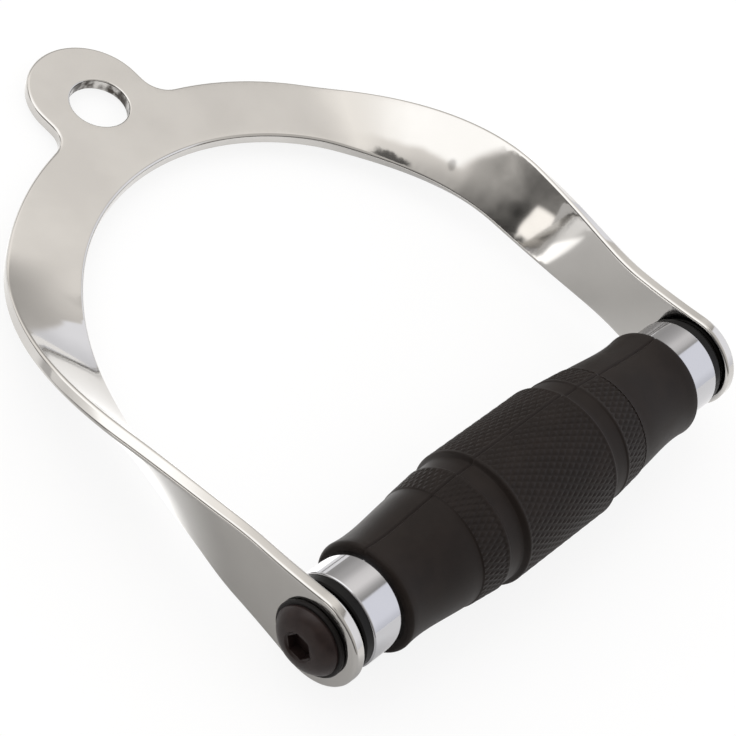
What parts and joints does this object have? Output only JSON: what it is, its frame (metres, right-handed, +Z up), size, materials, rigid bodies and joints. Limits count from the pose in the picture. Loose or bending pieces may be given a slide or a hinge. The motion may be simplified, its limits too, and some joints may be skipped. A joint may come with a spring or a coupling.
{
  "type": "d-handle",
  "caption": "D-shaped handle for a cable pulley: a flat steel bow with twisted legs and an eye for a snap hook, and a knurled rubber grip that spins on an axle.",
  "frame": {"origin": "on the ground under the middle of the handle as it lies, with the grip and the eye's edge on Z = 0", "axes": "+X along the grip, +Y from the grip to the eye, +Z up from the face that the handle lies on"},
  "size_m": [0.1606, 0.1878, 0.0366],
  "materials": {
    "bow_chrome": "polished chrome plate",
    "tube_chrome": "polished chrome plate",
    "axle_steel": "drawn steel bar",
    "screw_black": "satin black oxide",
    "washer_black": "satin black oxide",
    "bush_plastic": "moulded nylon",
    "grip_rubber": "moulded rubber with knurled bands"
  },
  "bodies": {
    "bow_frame": {"bow": "bow_chrome", "axle": "axle_steel", "left_screw": "screw_black", "right_screw": "screw_black", "left_screw_washer": "washer_black", "right_screw_washer": "washer_black", "left_thrust_washer": "bush_plastic", "right_thrust_washer": "bush_plastic"},
    "grip": {"grip_tube": "tube_chrome", "rubber_grip": "grip_rubber", "left_bush": "bush_plastic", "right_bush": "bush_plastic"}
  },
  "joints": [
    {"name": "grip_spin", "type": "hinge", "parent": "bow_frame", "child": "grip", "pos_m": [0, -0.0756, 0.0183], "axis": [1, 0, 0], "continuous": true}
  ]
}
